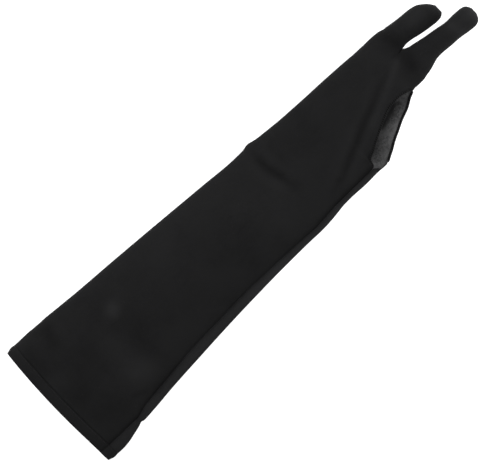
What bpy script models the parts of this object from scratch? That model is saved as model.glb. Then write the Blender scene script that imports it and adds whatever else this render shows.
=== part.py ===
# Drawing glove with a long sleeve, lying flat
# Metres. +X runs from the cuff to the fingers, +Y is the closed side, -Y the thumb side, +Z up.
# Each panel is a thin sheet lofted through slanted sections, then thickened inwards.

from collections import namedtuple
from math import cos, exp, pi, sin

import bmesh
import bpy
from mathutils import Vector

# Named sizes

FOREARM_LENGTH = 0.2560
HEEL_LENGTH = 0.0600
HAND_LENGTH = 0.0832
RING_LENGTH = 0.0624
LITTLE_LENGTH = 0.0429

CUFF_WIDTH = 0.1199
WRIST_WIDTH = 0.0899
PALM_WIDTH = 0.0835
RING_WIDTH = 0.0192
LITTLE_WIDTH = 0.0211
ROLL_WIDTH = 0.0092

ARCH_HEIGHT = 0.0112
MOUTH_HEIGHT = 0.0085
EDGE_RADIUS = 0.0018
ROLL_RADIUS = 0.0024
GROOVE_DIP = 0.0005
TIP_ROUND = 0.0080

WALL = 0.0012
GAP = 0.0003
HEM_LENGTH = 0.0090
HEM_WALL = 0.0016
HEM_PROUD = 0.0004
CUFF_BOW = 0.0020
CUFF_CORNER = 0.0012
BEAD_DIAMETER = 0.0018

FOLD_DEPTH = 0.0014
FOLD_WIDTH = 0.0045

# Distances over which one shape passes into the next

BOW_RUN = 0.0320
CROTCH_RUN = 0.0200
CROTCH_EDGE_RUN = 0.0040
UNDER_BEAD_LIFT = 0.0001
MERGE = 0.00001

# Sleeve sections
# along: share of the forearm's length; taper: 0 at the cuff's width, 1 at the wrist's
# shift: middle line towards +Y, share of the cuff's width
# roll: strip of the under panel that lies on top, share of the roll's width
# arch: share of the arch's height

Sleeve = namedtuple("Sleeve", "along taper shift roll arch")

FOREARM = [
    Sleeve(0.000, 0.010, -0.0022, 1.06, 0.98),
    Sleeve(0.062, 0.000, -0.0059, 1.07, 0.98),
    Sleeve(0.094, 0.027, -0.0025, 0.98, 0.99),
    Sleeve(0.125, 0.103, 0.0030, 0.80, 0.99),
    Sleeve(0.150, 0.169, 0.0084, 0.62, 1.00),
    Sleeve(0.166, 0.218, 0.0141, 0.44, 1.00),
    Sleeve(0.174, 0.195, 0.0106, 0.60, 1.00),
    Sleeve(0.219, 0.254, 0.0104, 0.85, 1.00),
    Sleeve(0.312, 0.395, 0.0145, 0.86, 1.00),
    Sleeve(0.437, 0.535, 0.0188, 1.00, 0.99),
    Sleeve(0.562, 0.676, 0.0212, 0.93, 0.98),
    Sleeve(0.687, 0.803, 0.0208, 0.89, 0.95),
    Sleeve(0.812, 0.916, 0.0178, 0.74, 0.92),
    Sleeve(0.937, 1.000, 0.0121, 0.58, 0.90),
    Sleeve(0.975, 0.990, 0.0121, 0.54, 0.89),
]

# Heel of the hand, wrist to the corner of the opening
# along: share of the heel's length; taper: 0 at the wrist's width, 1 at the palm's

HEEL = [
    Sleeve(0.000, -0.200, 0.0176, 0.58, 0.88),
    Sleeve(0.133, 0.143, 0.0138, 0.58, 0.88),
    Sleeve(0.267, 0.429, 0.0146, 0.56, 0.88),
    Sleeve(0.400, 0.683, 0.0163, 0.48, 0.88),
    Sleeve(0.533, 0.810, 0.0146, 0.47, 0.88),
    Sleeve(0.800, 0.840, 0.0104, 0.53, 0.88),
]

# Hand sections, corner of the opening to the crotch
# along columns: share of the hand's length; edge columns: share of the palm's width, +Y positive
# outer: closed side; top and under: each panel's own edge on the thumb side
# mouth: 0 at the seam's height, 1 at the mouth's; turn: half turns that the under edge rolls up
# hem: 1 where the edge carries a hem; arch: share of the arch's height

Hand = namedtuple("Hand", "outer_along outer top_along top under_along under mouth turn hem arch")

HAND = [
    Hand(0.000, 0.517, 0.025, -0.419, 0.000, -0.486, 0.00, 1.00, 1.0, 0.88),
    Hand(0.048, 0.516, 0.038, -0.363, 0.067, -0.489, 0.35, 0.70, 1.0, 0.88),
    Hand(0.125, 0.515, 0.128, -0.307, 0.125, -0.490, 0.80, 0.45, 1.0, 0.88),
    Hand(0.231, 0.513, 0.240, -0.243, 0.240, -0.443, 1.00, 0.14, 1.0, 0.88),
    Hand(0.327, 0.510, 0.337, -0.195, 0.337, -0.385, 1.00, 0.08, 1.0, 0.88),
    Hand(0.423, 0.507, 0.433, -0.147, 0.433, -0.336, 1.00, 0.08, 1.0, 0.88),
    Hand(0.529, 0.502, 0.529, -0.114, 0.529, -0.287, 1.00, 0.08, 1.0, 0.86),
    Hand(0.654, 0.496, 0.654, -0.106, 0.641, -0.242, 0.90, 0.10, 1.0, 0.84),
    Hand(0.760, 0.495, 0.760, -0.125, 0.740, -0.183, 0.55, 0.22, 1.0, 0.82),
    Hand(0.817, 0.496, 0.817, -0.140, 0.817, -0.143, 0.10, 0.44, 0.0, 0.81),
    Hand(0.875, 0.495, 0.875, -0.146, 0.875, -0.146, 0.00, 0.50, 0.0, 0.80),
    Hand(0.933, 0.490, 0.933, -0.145, 0.933, -0.145, 0.00, 0.50, 0.0, 0.79),
    Hand(1.000, 0.472, 1.000, -0.131, 1.000, -0.131, 0.00, 0.50, 0.0, 0.78),
]

CROTCH_EDGE = 0.212
CROTCH_COLUMN = 0.46

# Finger sections
# along: share of the finger's length; middle and width: share of the finger's width

Finger = namedtuple("Finger", "along middle width")

RING = [
    Finger(0.026, 0.147, 1.417),
    Finger(0.077, 0.134, 1.318),
    Finger(0.141, 0.149, 1.218),
    Finger(0.231, 0.164, 1.074),
    Finger(0.333, 0.144, 0.989),
    Finger(0.462, 0.101, 0.961),
    Finger(0.628, 0.046, 0.897),
    Finger(0.782, 0.015, 0.969),
    Finger(0.872, 0.000, 0.979),
    Finger(0.923, 0.000, 0.911),
    Finger(0.962, 0.005, 0.750),
    Finger(0.987, 0.010, 0.485),
    Finger(1.000, 0.021, 0.286),
]

LITTLE = [
    Finger(0.038, 1.360, 1.020),
    Finger(0.113, 1.358, 0.976),
    Finger(0.208, 1.339, 0.960),
    Finger(0.396, 1.281, 1.000),
    Finger(0.585, 1.237, 1.036),
    Finger(0.736, 1.185, 1.000),
    Finger(0.830, 1.118, 0.885),
    Finger(0.906, 1.062, 0.740),
    Finger(0.955, 1.024, 0.570),
    Finger(1.000, 1.000, 0.350),
]

RING_ARCH = 0.77
LITTLE_ARCH = 0.77

# Folds of the top panel, in straight runs; runs of one name make one fold, a valley or a ridge
# along columns: share of the sleeve's length; across: share of the wrist's width, +Y positive
# wide: share of the fold's width; high: share of the fold's depth, negative in a valley

Fold = namedtuple("Fold", "name along_a across_a along_b across_b wide high")

FOLDS = [
    Fold("wrist crease", 0.805, 0.46, 0.815, 0.15, 1.0, -0.9),
    Fold("wrist crease", 0.815, 0.15, 0.825, -0.14, 1.0, -0.7),
    Fold("wrist swelling", 0.782, 0.42, 0.790, 0.10, 1.6, 0.5),
    Fold("diagonal crease", 1.217, 0.19, 1.082, -0.03, 1.0, -0.9),
    Fold("diagonal crease", 1.082, -0.03, 0.898, -0.30, 1.0, -0.9),
    Fold("diagonal crease", 0.898, -0.30, 0.820, -0.39, 1.2, -0.6),
    Fold("palm swelling", 1.100, -0.13, 0.930, -0.31, 1.6, 0.5),
    Fold("little finger root", 1.249, 0.42, 1.258, 0.24, 0.8, -0.4),
    Fold("cuff swelling", 0.200, -0.23, 0.215, -0.22, 3.6, 0.7),
    Fold("sleeve swelling", 0.270, 0.25, 0.285, 0.25, 2.8, 0.5),
    Fold("closed side dent", 0.124, 0.48, 0.130, 0.46, 1.6, -0.7),
    Fold("forearm swelling", 0.640, 0.36, 0.730, 0.37, 2.0, 0.5),
]

# Column shares across a panel

FLAT_COLUMNS = (0.25, 0.50, 0.75)
ARC_TURNS = (1.0, 0.62, 0.28, 0.0)
TAIL_COLUMNS = (0.0, 0.10, 0.20, 0.30, 0.40, 0.50, 0.75, 1.0)
LOBE_COLUMNS = (0.0, 0.03, 0.10, 0.22, 0.38, 0.62, 0.78, 0.90, 0.97, 1.0)
PALM_COLUMNS = (0.0, 0.01, 0.035, 0.09, 0.16, 0.24, 0.31, 0.37, 0.42)
OUTER_CURVE = 2.6
THUMB_CURVE = 2.1
TIP_CURVE = 2.0
HAND_STEPS = 2
HEM_ROWS = (0.0, 0.3, 0.65, 1.0)
HEM_CORNER_SHARE = 0.6

# Where one state of an edge gives way to the next, in the hand table's own terms

ROLLED_TURN = 0.75
LYING_TURN = 0.50
LYING_RUN = 0.30
BEAD_HEM = 0.95
BEAD_TURN = 0.145
SEAMED_SHARE = 0.50
CREASE_SPREAD = 0.30

X_WRIST = FOREARM_LENGTH
X_OPENING = X_WRIST + HEEL_LENGTH
X_CROTCH = X_OPENING + HAND_LENGTH
Y_CROTCH = CROTCH_EDGE * PALM_WIDTH
X_SEAMED = X_OPENING + SEAMED_SHARE * HAND_LENGTH

# Colour, roughness of each piece

LOOKS = {
    "top_panel": ((0.016, 0.016, 0.017), 0.85),
    "under_panel": ((0.022, 0.022, 0.023), 0.88),
    "cuff_hem": ((0.012, 0.012, 0.013), 0.82),
    "opening_hem_top": ((0.010, 0.010, 0.011), 0.80),
    "opening_hem_under": ((0.010, 0.010, 0.011), 0.80),
}


# Helpers

def lerp(a, b, t):
    return a + (b - a) * t


def clamp01(t):
    return max(0.0, min(1.0, t))


def smooth(t):
    t = clamp01(t)
    return t * t * (3.0 - 2.0 * t)


def rise(u):
    """Arched height over a section, 0 at both edges and 1 in the middle."""
    power = OUTER_CURVE if u < 0.5 else THUMB_CURVE
    away = abs(1.0 - 2.0 * clamp01(u))
    return (1.0 - away ** power) ** (1.0 / power)


def fold_height(x, y):
    """Valleys and ridges of the top panel above its plain arch."""
    heights = {}
    for fold in FOLDS:
        start = Vector((fold.along_a * X_OPENING, fold.across_a * WRIST_WIDTH))
        end = Vector((fold.along_b * X_OPENING, fold.across_b * WRIST_WIDTH))
        run = end - start
        place = Vector((x, y)) - start
        share = clamp01(place.dot(run) / run.length_squared)
        near = (place - run * share).length / (fold.wide * FOLD_WIDTH)
        height = fold.high * FOLD_DEPTH * exp(-near * near)
        heights[fold.name] = max(height, heights.get(fold.name, 0.0), key=abs)
    return sum(heights.values())


# Sections

Row = namedtuple("Row", "outer top under roll turn mouth arch crotch crotch_edge")


def sleeve_row(x, section, from_width, to_width):
    width = lerp(from_width, to_width, section.taper)
    middle = section.shift * CUFF_WIDTH
    outer = Vector((x, middle + width / 2.0))
    thumb = Vector((x, middle - width / 2.0))
    roll = section.roll * ROLL_WIDTH
    seam = thumb + Vector((0.0, roll + GAP))
    return Row(outer, seam, thumb, roll, 1.0, 0.0, section.arch, 0.0, 0.0)


def blend(a, b, share):
    return type(a)(*[lerp(p, q, share) for p, q in zip(a, b)])


def forearm_row(x):
    """Section at any place between the cuff and the wrist."""
    share = x / FOREARM_LENGTH
    for low, high in zip(FOREARM, FOREARM[1:]):
        if share <= high.along:
            part = (share - low.along) / (high.along - low.along)
            return sleeve_row(x, blend(low, high, part), CUFF_WIDTH, WRIST_WIDTH)
    return sleeve_row(x, FOREARM[-1], CUFF_WIDTH, WRIST_WIDTH)


def curve_through(a, b, c, d, t):
    """Smooth value between b and c, with a and d as neighbours."""
    return b + 0.5 * t * (c - a + t * (2 * a - 5 * b + 4 * c - d + t * (3 * (b - c) + d - a)))


def hand_sections():
    """Hand table with extra sections between its rows."""
    found = []
    last = len(HAND) - 1
    for index in range(last):
        a = HAND[max(index - 1, 0)]
        b = HAND[index]
        c = HAND[index + 1]
        d = HAND[min(index + 2, last)]
        for step in range(HAND_STEPS):
            t = step / HAND_STEPS
            values = [curve_through(p, q, r, s, t) for p, q, r, s in zip(a, b, c, d)]
            found.append(Hand(*values))
    found.append(HAND[last])
    return found


def hand_point(along, edge):
    return Vector((X_OPENING + along * HAND_LENGTH, edge * PALM_WIDTH))


def set_back(points, sections, distance):
    """Edge line moved into the cloth by a distance where it carries a hem."""
    moved = []
    last = len(points) - 1
    for index, point in enumerate(points):
        ahead = points[min(index + 1, last)] - points[max(index - 1, 0)]
        if index == 0:
            ahead = points[1] - points[0]
        inward = Vector((-ahead.y, ahead.x)).normalized()
        moved.append(point + inward * distance * clamp01(sections[index].hem))
    return moved


def hand_rows():
    sections = hand_sections()
    back = BEAD_DIAMETER + GAP
    top_edge = set_back([hand_point(s.top_along, s.top) for s in sections], sections, back)
    under_edge = [hand_point(s.under_along, s.under) for s in sections]
    under_back = set_back(under_edge, sections, back)
    rows = []
    for index, s in enumerate(sections):
        outer = hand_point(s.outer_along, s.outer)
        flat = clamp01(s.hem) * smooth((LYING_TURN - s.turn) / LYING_RUN)
        under = under_edge[index].lerp(under_back[index], flat)
        to_go = X_CROTCH - outer.x
        crotch = 1.0 - smooth(to_go / CROTCH_RUN)
        edge = 1.0 - smooth(to_go / CROTCH_EDGE_RUN)
        roll = HEEL[-1].roll * ROLL_WIDTH * clamp01(2.0 * s.turn - 1.0)
        rows.append(Row(outer, top_edge[index], under, roll, clamp01(s.turn),
                        clamp01(s.mouth), s.arch, crotch, edge))
    return rows


def body_rows():
    rows = [forearm_row(HEM_LENGTH + GAP)]
    for section in FOREARM:
        x = section.along * FOREARM_LENGTH
        if x > HEM_LENGTH + 2.0 * GAP:
            rows.append(sleeve_row(x, section, CUFF_WIDTH, WRIST_WIDTH))
    for section in HEEL:
        x = X_WRIST + section.along * HEEL_LENGTH
        rows.append(sleeve_row(x, section, WRIST_WIDTH, PALM_WIDTH))
    return rows + hand_rows()


def placed(row_start, row_end, q, z):
    """Point at distance q along a section, bowed at the cuff."""
    run = row_end - row_start
    place = row_start + run.normalized() * q
    across = 2.0 * q / run.length - 1.0
    bow = CUFF_BOW * across * across * (1.0 - smooth(row_start.x / BOW_RUN))
    return Vector((place.x + bow, place.y, z))


# Under panel

def lobe_path(width, lift, seam, thumb_side):
    """Section of the under side of one finger, from its edge nearer +Y to the other."""
    radius = min(EDGE_RADIUS, width / 2.0)
    path = []
    for turn in ARC_TURNS:
        angle = turn * pi / 2.0
        path.append((radius * (1.0 - sin(angle)), 1.0 - cos(angle)))
    for share in FLAT_COLUMNS:
        path.append((lerp(radius, width - radius, share), 0.0))
    for turn in TAIL_COLUMNS if thumb_side else reversed(ARC_TURNS):
        angle = turn * pi / 2.0
        path.append((width - radius * (1.0 - sin(angle)), 1.0 - cos(angle)))
    return [(q, lerp(lift, seam, z)) for q, z in path]


def tail_path(start, radius, turn, strip):
    """Edge of the under panel on the thumb side: an arc, then the strip that lies on top."""
    angle = turn * pi
    arc = radius * angle
    length = arc + strip
    path = []
    for share in TAIL_COLUMNS:
        travelled = share * length
        if travelled <= arc or strip <= 0.0:
            a = travelled / radius
            path.append((start + radius * sin(a), radius * (1.0 - cos(a))))
        else:
            past = travelled - arc
            dip = GROOVE_DIP * (past / strip) ** 2
            q = start + radius * sin(angle) + past * cos(angle)
            path.append((q, radius * (1.0 - cos(angle)) - dip))
    return path


def under_path(row, crotch_q):
    """Section of the under panel, outer seam to thumb side edge."""
    width = (row.under - row.outer).length
    seam = EDGE_RADIUS - GAP / 2.0
    rolled = clamp01((row.turn - LYING_TURN) / (ROLLED_TURN - LYING_TURN))
    end_radius = lerp(seam, ROLL_RADIUS, rolled)
    tail_start = width - end_radius * sin(min(row.turn, LYING_TURN) * pi)
    strip = max(0.0, row.roll - end_radius) if row.turn > ROLLED_TURN else 0.0
    middle = lerp(lerp(EDGE_RADIUS, tail_start, CROTCH_COLUMN), crotch_q, row.crotch)
    path = []
    for turn in ARC_TURNS:
        angle = turn * pi / 2.0
        path.append((EDGE_RADIUS * (1.0 - sin(angle)), seam * (1.0 - cos(angle))))
    spread = lerp((middle - EDGE_RADIUS) * CREASE_SPREAD, EDGE_RADIUS, row.crotch)
    for share in FLAT_COLUMNS:
        path.append((lerp(EDGE_RADIUS, middle - spread, share), 0.0))
    near = [1.0 - sin(turn * pi / 2.0) for turn in reversed(ARC_TURNS)]
    high = [1.0 - cos(turn * pi / 2.0) for turn in reversed(ARC_TURNS)]
    for away, up in zip(near, high):
        path.append((middle - spread * away, seam * up * row.crotch_edge))
    for away, up in list(zip(near, high))[-2::-1]:
        path.append((middle + spread * away, seam * up * row.crotch_edge))
    for share in FLAT_COLUMNS:
        path.append((lerp(middle + spread, tail_start, share), 0.0))
    return path + tail_path(tail_start, end_radius, row.turn, strip)


# Top panel

def top_shares(row, crotch_share):
    palm = list(PALM_COLUMNS) + [CROTCH_COLUMN]
    palm = palm + [1.0 - value for value in reversed(palm[:-1])]
    lobes = [crotch_share * value for value in LOBE_COLUMNS]
    lobes = lobes + [lerp(crotch_share, 1.0, value) for value in LOBE_COLUMNS[1:]]
    return [lerp(p, q, row.crotch) for p, q in zip(palm, lobes)]


def top_height(row, share, crotch_share, arch_height):
    seam = EDGE_RADIUS + GAP / 2.0
    groove = 2.0 * ROLL_RADIUS - GROOVE_DIP
    low = lerp(seam, groove, clamp01(2.0 * row.turn - 1.0))
    low = lerp(low, MOUTH_HEIGHT, row.mouth)
    base = lerp(seam, low, smooth(share))
    palm = lerp(base, arch_height, rise(share))
    if share < crotch_share:
        lobe = rise(share / crotch_share)
    else:
        lobe = rise((share - crotch_share) / (1.0 - crotch_share))
    finger = lerp(seam, arch_height, lobe)
    return lerp(palm, finger, row.crotch)


# Meshes

def sheet_object(name, patches, wall, flip, wrap=False):
    """One closed body from grids of points, thickened away from its outer face."""
    mesh = bpy.data.meshes.new(name)
    bm = bmesh.new()
    for rows in patches:
        verts = [[bm.verts.new(point) for point in row] for row in rows]
        count = len(verts[0])
        for low, high in zip(verts, verts[1:]):
            for col in range(count if wrap else count - 1):
                side = (col + 1) % count
                loop = [low[col], low[side], high[side], high[col]]
                bm.faces.new(loop[::-1] if flip else loop)
    bmesh.ops.remove_doubles(bm, verts=bm.verts, dist=MERGE)
    for face in bm.faces:
        face.smooth = True
    bm.to_mesh(mesh)
    bm.free()
    obj = bpy.data.objects.new(name, mesh)
    solid = obj.modifiers.new("wall", "SOLIDIFY")
    solid.thickness = wall
    solid.offset = -1.0
    return obj


def level_rims(obj, is_seam, low, high):
    """Seam edges made level, so that the two panels face each other across an even gap."""
    bpy.context.view_layer.update()
    depsgraph = bpy.context.evaluated_depsgraph_get()
    mesh = bpy.data.meshes.new_from_object(obj.evaluated_get(depsgraph))
    for vertex in mesh.vertices:
        if is_seam(vertex.co):
            vertex.co.z = max(low, min(high, vertex.co.z))
    obj.modifiers.clear()
    obj.data = mesh


def finger_edges(table, length, width):
    """Outer and inner end of each section of one finger, in plan."""
    ends = []
    for section in table:
        x = X_CROTCH + section.along * length
        middle = section.middle * width
        half = section.width * width / 2.0
        ends.append((Vector((x, middle + half)), Vector((x, middle - half))))
    return ends


def tip_share(x, tip_x, run):
    """0 at the finger's end, 1 from a run before it."""
    return (1.0 - (1.0 - clamp01((tip_x - x) / run)) ** TIP_CURVE) ** (1.0 / TIP_CURVE)


def under_finger(first, table, length, width, thumb_side):
    seam = EDGE_RADIUS - GAP / 2.0
    rows = [first]
    tip_x = X_CROTCH + length
    for outer, inner in finger_edges(table, length, width):
        lift = lerp(seam, 0.0, tip_share(outer.x, tip_x, EDGE_RADIUS))
        path = lobe_path((inner - outer).length, lift, seam, thumb_side)
        rows.append([placed(outer, inner, q, z) for q, z in path])
    return rows


def top_finger(first, table, length, width, arch_height):
    seam = EDGE_RADIUS + GAP / 2.0
    rows = [first]
    tip_x = X_CROTCH + length
    for outer, inner in finger_edges(table, length, width):
        run = (inner - outer).length
        height = lerp(seam, arch_height, tip_share(outer.x, tip_x, TIP_ROUND))
        row = []
        for share in LOBE_COLUMNS:
            z = lerp(seam, height, rise(share))
            row.append(placed(outer, inner, share * run, z))
        rows.append(row)
    return rows


def under_grid():
    rows = []
    for row in body_rows():
        crotch_q = (row.outer - Vector((X_CROTCH, Y_CROTCH))).length
        path = under_path(row, crotch_q)
        rows.append([placed(row.outer, row.under, q, z) for q, z in path])
    split = len(ARC_TURNS) * 2 + len(FLAT_COLUMNS) - 1
    last = rows[-1]
    little = under_finger(last[:split + 1], LITTLE, LITTLE_LENGTH, LITTLE_WIDTH, False)
    ring = under_finger(last[split:], RING, RING_LENGTH, RING_WIDTH, True)
    return [rows, little, ring]


def top_grid():
    rows = []
    split = len(LOBE_COLUMNS) - 1
    for row in body_rows():
        run = (row.top - row.outer).length
        crotch_share = (row.outer - Vector((X_CROTCH, Y_CROTCH))).length / run
        crotch_share = lerp(CROTCH_COLUMN, crotch_share, row.crotch)
        line = []
        for share in top_shares(row, crotch_share):
            z = top_height(row, share, crotch_share, row.arch * ARCH_HEIGHT)
            point = placed(row.outer, row.top, share * run, z)
            point.z += fold_height(point.x, point.y) * rise(share)
            line.append(point)
        rows.append(line)
    last = rows[-1]
    little = top_finger(last[:split + 1], LITTLE, LITTLE_LENGTH, LITTLE_WIDTH, LITTLE_ARCH * ARCH_HEIGHT)
    ring = top_finger(last[split:], RING, RING_LENGTH, RING_WIDTH, RING_ARCH * ARCH_HEIGHT)
    return [rows, little, ring]


def hem_grid():
    """Closed loops round the whole flattened sleeve, a little proud of it."""
    rows = []
    for share in HEM_ROWS:
        row = forearm_row(share * HEM_LENGTH)
        proud = HEM_PROUD - (1.0 - smooth(share / HEM_CORNER_SHARE)) * CUFF_CORNER
        out = Vector((0.0, proud))
        row = row._replace(outer=row.outer + out, under=row.under - out, roll=row.roll + proud)
        loop = []
        for q, z in under_path(row, 0.0):
            loop.append(placed(row.outer, row.under, q, z))
        run = (row.top - row.outer).length
        for share_across in reversed(top_shares(row, CROTCH_COLUMN)[1:-1]):
            z = top_height(row, share_across, CROTCH_COLUMN, row.arch * ARCH_HEIGHT) + HEM_PROUD
            loop.append(placed(row.outer, row.top, share_across * run, z))
        rows.append(loop)
    return [rows]


def bead_object(name, points):
    """Thin round hem that follows an edge."""
    curve = bpy.data.curves.new(name, "CURVE")
    curve.dimensions = "3D"
    curve.bevel_depth = BEAD_DIAMETER / 2.0
    curve.bevel_resolution = 2
    curve.use_fill_caps = True
    spline = curve.splines.new("POLY")
    spline.points.add(len(points) - 1)
    for slot, point in zip(spline.points, points):
        slot.co = (point.x, point.y, point.z, 1.0)
    return bpy.data.objects.new(name, curve)


def bead_points(top):
    """Middle line of one opening hem."""
    sections = hand_sections()
    if top:
        edge = [hand_point(s.top_along, s.top) for s in sections]
    else:
        edge = [hand_point(s.under_along, s.under) for s in sections]
    middle = set_back(edge, sections, BEAD_DIAMETER / 2.0)
    rows = hand_rows()
    points = []
    for section, row, place in zip(sections, rows, middle):
        if section.hem < BEAD_HEM or (section.turn > BEAD_TURN and not top):
            continue
        z = BEAD_DIAMETER / 2.0 + UNDER_BEAD_LIFT
        if top:
            z = top_height(row, 1.0, CROTCH_COLUMN, row.arch * ARCH_HEIGHT) - WALL / 2.0
        points.append(Vector((place.x, place.y, z)))
    return points


# Assembly

def give_material(obj):
    colour, roughness = LOOKS[obj.name]
    material = bpy.data.materials.new(obj.name + "_fabric")
    material.use_nodes = True
    shader = material.node_tree.nodes["Principled BSDF"]
    shader.inputs["Base Color"].default_value = (*colour, 1.0)
    shader.inputs["Roughness"].default_value = roughness
    shader.inputs["Metallic"].default_value = 0.0
    obj.data.materials.append(material)


def centre_on_base(pieces):
    """Origin at the middle of the base of all pieces together."""
    bpy.context.view_layer.update()
    depsgraph = bpy.context.evaluated_depsgraph_get()
    corners = []
    for piece in pieces:
        shown = piece.evaluated_get(depsgraph)
        corners += [vertex.co.copy() for vertex in shown.to_mesh().vertices]
        shown.to_mesh_clear()
    low = [min(corner[axis] for corner in corners) for axis in range(3)]
    high = [max(corner[axis] for corner in corners) for axis in range(3)]
    for piece in pieces:
        piece.location = (-(low[0] + high[0]) / 2.0, -(low[1] + high[1]) / 2.0, -low[2])


def main():
    for old in list(bpy.data.objects):
        bpy.data.objects.remove(old)
    group = bpy.data.collections.new("drawing_glove")
    bpy.context.scene.collection.children.link(group)
    pieces = [
        sheet_object("top_panel", top_grid(), WALL, flip=False),
        sheet_object("under_panel", under_grid(), WALL, flip=True),
        sheet_object("cuff_hem", hem_grid(), HEM_WALL, flip=True, wrap=True),
        bead_object("opening_hem_top", bead_points(True)),
        bead_object("opening_hem_under", bead_points(False)),
    ]
    for piece in pieces:
        group.objects.link(piece)
        give_material(piece)
    seam = EDGE_RADIUS
    level_rims(pieces[0], lambda place: True, seam + GAP / 2.0, ARCH_HEIGHT * 2.0)
    level_rims(pieces[1], lambda place: place.y > 0.0 or place.x > X_SEAMED, 0.0, seam - GAP / 2.0)
    centre_on_base(pieces)


main()
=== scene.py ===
# %% [markdown]
# # A drawing glove, laid flat
#
# A drawing glove keeps the side of the hand off the page. This one covers only the ring finger and the
# little finger, leaves a wide opening for the thumb and the other two fingers, and runs on as a sleeve
# over the whole forearm. It is sewn from thin dark stretch knit and lies on a pale table, seen from above.
#
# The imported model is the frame: every piece made here lies where its solid lies. All lengths are metres.

# %% Frame and modules
from math import cos, pi, radians, sin

import bmesh
import bpy
import numpy as np
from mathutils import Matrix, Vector, noise


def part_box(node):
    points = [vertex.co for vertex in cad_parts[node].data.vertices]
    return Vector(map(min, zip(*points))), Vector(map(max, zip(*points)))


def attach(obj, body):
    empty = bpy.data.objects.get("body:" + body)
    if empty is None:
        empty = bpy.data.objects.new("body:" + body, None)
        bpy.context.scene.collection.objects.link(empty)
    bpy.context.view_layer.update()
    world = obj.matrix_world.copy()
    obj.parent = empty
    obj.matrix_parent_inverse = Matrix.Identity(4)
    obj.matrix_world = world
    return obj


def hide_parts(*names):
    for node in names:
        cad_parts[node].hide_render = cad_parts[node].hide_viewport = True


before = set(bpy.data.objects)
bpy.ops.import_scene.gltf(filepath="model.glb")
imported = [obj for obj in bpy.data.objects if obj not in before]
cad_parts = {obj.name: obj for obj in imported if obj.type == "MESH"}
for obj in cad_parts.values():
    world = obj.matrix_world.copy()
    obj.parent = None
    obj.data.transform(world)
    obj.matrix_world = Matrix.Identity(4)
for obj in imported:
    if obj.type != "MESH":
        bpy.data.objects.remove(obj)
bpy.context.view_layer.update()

SCENE = bpy.context.scene
print("solids in the frame:", sorted(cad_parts))

# %% [markdown]
# ## Sizes
#
# The glove is described the way a pattern cutter would: a few lengths and widths, then short tables that
# say how each section differs. A section is a line across the glove. Its outer end is on the closed side,
# its other end on the thumb side.

# %% Named sizes
FOREARM_LENGTH = 0.2560
HEEL_LENGTH = 0.0600
HAND_LENGTH = 0.0832
RING_LENGTH = 0.0624
LITTLE_LENGTH = 0.0429
CUFF_WIDTH = 0.1199
WRIST_WIDTH = 0.0899
PALM_WIDTH = 0.0835
RING_WIDTH = 0.0192
LITTLE_WIDTH = 0.0211
ROLL_WIDTH = 0.0092
ARCH_HEIGHT = 0.0112
MOUTH_HEIGHT = 0.0085
EDGE_RADIUS = 0.0018
ROLL_RADIUS = 0.0024
GROOVE_DIP = 0.0010
TIP_ROUND = 0.0080
CLOTH = 0.0009
HEM_LENGTH = 0.0090
HEM_PROUD = 0.0004
CUFF_BOW = 0.0020
CUFF_CORNER = 0.0012
BEAD = 0.0021
FOLD_DEPTH = 0.0014
FOLD_WIDTH = 0.0045
BOW_RUN = 0.0320
CROTCH_RUN = 0.0200
CROTCH_EDGE_RUN = 0.0040
CROTCH_EDGE = 0.212
CROTCH_COLUMN = 0.46
RING_ARCH = 0.77
LITTLE_ARCH = 0.77
OUTER_CURVE = 2.6
THUMB_CURVE = 1.5

X_WRIST = FOREARM_LENGTH
X_OPENING = X_WRIST + HEEL_LENGTH
X_CROTCH = X_OPENING + HAND_LENGTH
X_TIP = X_CROTCH + RING_LENGTH
Y_CROTCH = CROTCH_EDGE * PALM_WIDTH
ROW_STEP = 0.0016
FINGER_STEP = 0.0012
FINGER_TIP = 0.93
MERGE = 0.00001
RIPPLE_HEIGHT, RIPPLE_SIZE, RIPPLE_SEED = 0.0003, 0.022, 4.0
HEM_END_ROUND = 0.0006
OPENING_END, OPENING_STEP = 0.817, 0.0009

# Half turns of the under edge: above the first it is rolled right over, at the second it stands upright
ROLLED_TURN, UPRIGHT_TURN = 0.75, 0.5

# Painted tone: reach of the painted shade in the groove beside the side seam on the top panel, then on the
# under panel the place and the reach of the painted highlight on the rolled edge, and the reach of the
# painted shade beside the seam
TOP_GROOVE = 0.0026
PALE_PLACE, PALE_REACH, UNDER_GROOVE = 0.0060, 0.0034, 0.0014

# Thread and stitches: radius, length, the space between, the rows' places across the hem, and the lift
WHIP_RADIUS, WHIP_PITCH = 0.00014, 0.0017
HEM_STITCH_RADIUS, HEM_STITCH, HEM_STITCH_SPACE = 0.00012, 0.0024, 0.0007
HEM_STITCH_ROWS = (0.70, 0.86)
TOP_LIFT, LOW_LIFT = 0.00006, 0.0002
SEAM_STITCH_RADIUS, SEAM_STITCH, SEAM_STITCH_SPACE, SEAM_STITCH_REACH = 0.00015, 0.0004, 0.0014, 0.0011

# Knit: distance between two columns and two rows of loops
WALE, COURSE = 0.00062, 0.00045

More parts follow.
